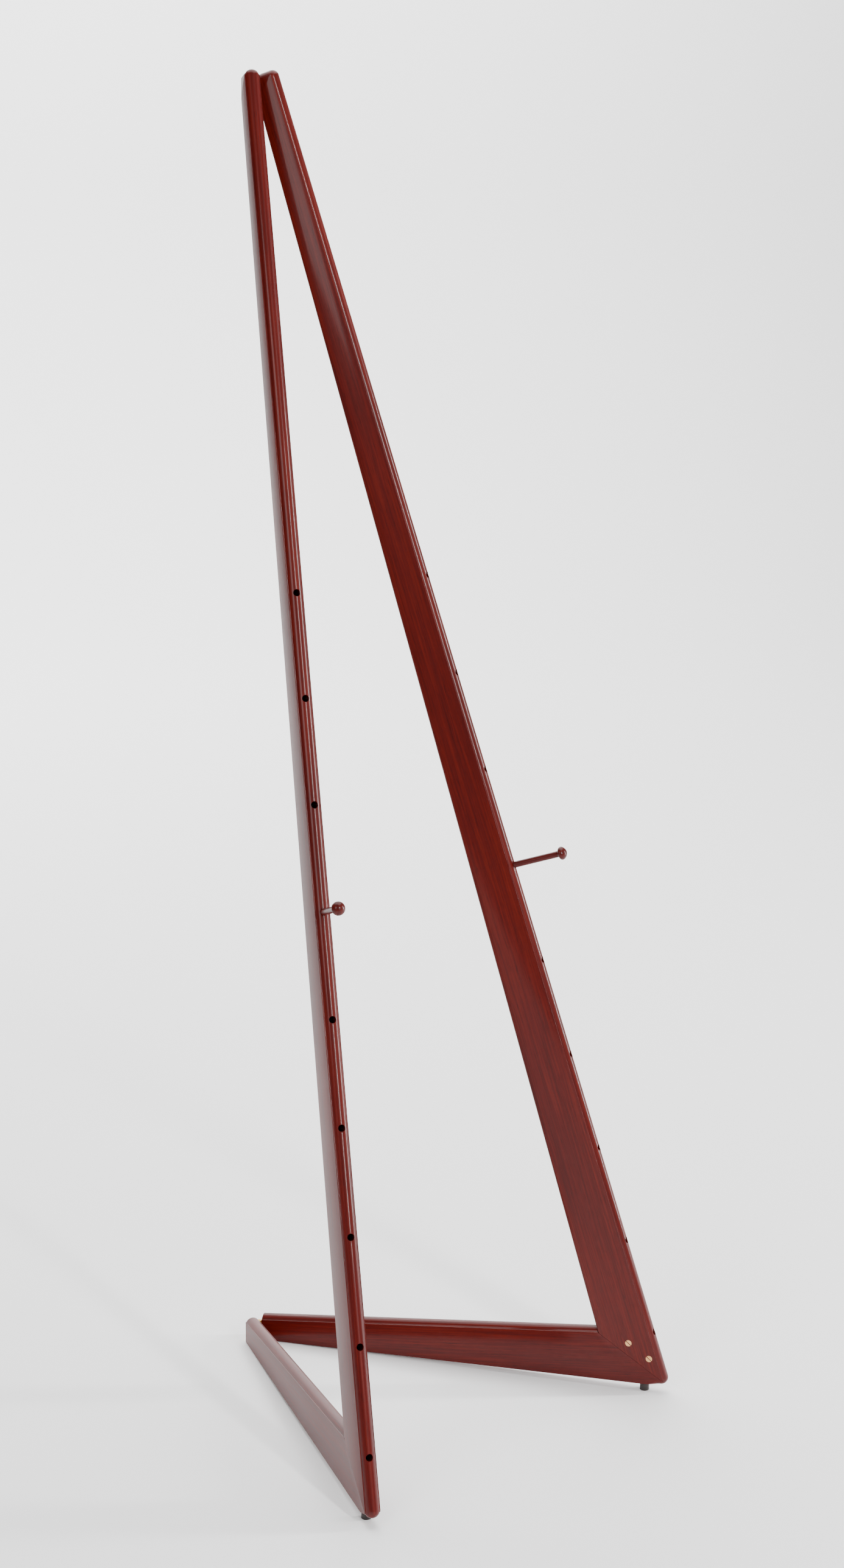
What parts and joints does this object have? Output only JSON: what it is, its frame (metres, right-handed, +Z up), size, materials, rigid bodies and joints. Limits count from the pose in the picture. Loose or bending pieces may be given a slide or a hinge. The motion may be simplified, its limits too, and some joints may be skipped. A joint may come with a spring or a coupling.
{
  "type": "folding display easel",
  "caption": "Folding wooden display easel: tapered L-shaped wings hinged at the back like a book, peg holes up their leaning front edges, and turned pegs that hold a board or picture.",
  "frame": {"origin": "on the floor, under the middle of the stand's bounding box when it is open as in use, on the plane midway between the wings", "axes": "+Z up; the front, with the peg holes and pegs, faces -Y; the hinge line is vertical at the back, at +Y; +X is to the right seen from the front"},
  "size_m": [0.5468, 0.4984, 1.6559],
  "materials": {
    "mahogany": "red-brown mahogany stain under satin-gloss lacquer, fine dark pores along the grain",
    "peg_wood": "the same stain and lacquer on turned wood",
    "raw_wood": "bare wood, hidden in the glue joint",
    "brass": "plated brass, slightly dull",
    "screw_brass": "bright brass, slotted heads",
    "glide": "dark brown plastic",
    "nail_steel": "plain steel"
  },
  "bodies": {
    "left_wing": {"left_stile": "mahogany", "left_foot_rail": "mahogany", "left_corner_spline": "raw_wood", "left_corner_screws": "screw_brass", "left_glide": "glide", "left_glide_nail": "nail_steel", "top_hinge_left_leaf": "brass", "top_hinge_left_screws": "screw_brass", "low_hinge_left_leaf": "brass", "low_hinge_left_screws": "screw_brass"},
    "right_wing": {"right_stile": "mahogany", "right_foot_rail": "mahogany", "right_corner_spline": "raw_wood", "right_corner_screws": "screw_brass", "right_glide": "glide", "right_glide_nail": "nail_steel", "top_hinge_right_leaf": "brass", "top_hinge_right_screws": "screw_brass", "low_hinge_right_leaf": "brass", "low_hinge_right_screws": "screw_brass", "top_hinge_pin": "brass", "low_hinge_pin": "brass"},
    "left_peg": {"left_peg": "peg_wood"},
    "right_peg": {"right_peg": "peg_wood"}
  },
  "joints": [
    {"name": "fold", "type": "hinge", "parent": "left_wing", "child": "right_wing", "pos_m": [0, 0.24335, 0.828], "axis": [0, 0, 1], "range_deg": [-55, 35]},
    {"name": "left_peg_pull", "type": "slide", "parent": "left_wing", "child": "left_peg", "axis": [-0.4389, -0.8431, 0.3108], "range_m": [0, 0.026]},
    {"name": "right_peg_pull", "type": "slide", "parent": "right_wing", "child": "right_peg", "axis": [0.4389, -0.8431, 0.3108], "range_m": [0, 0.026]}
  ]
}
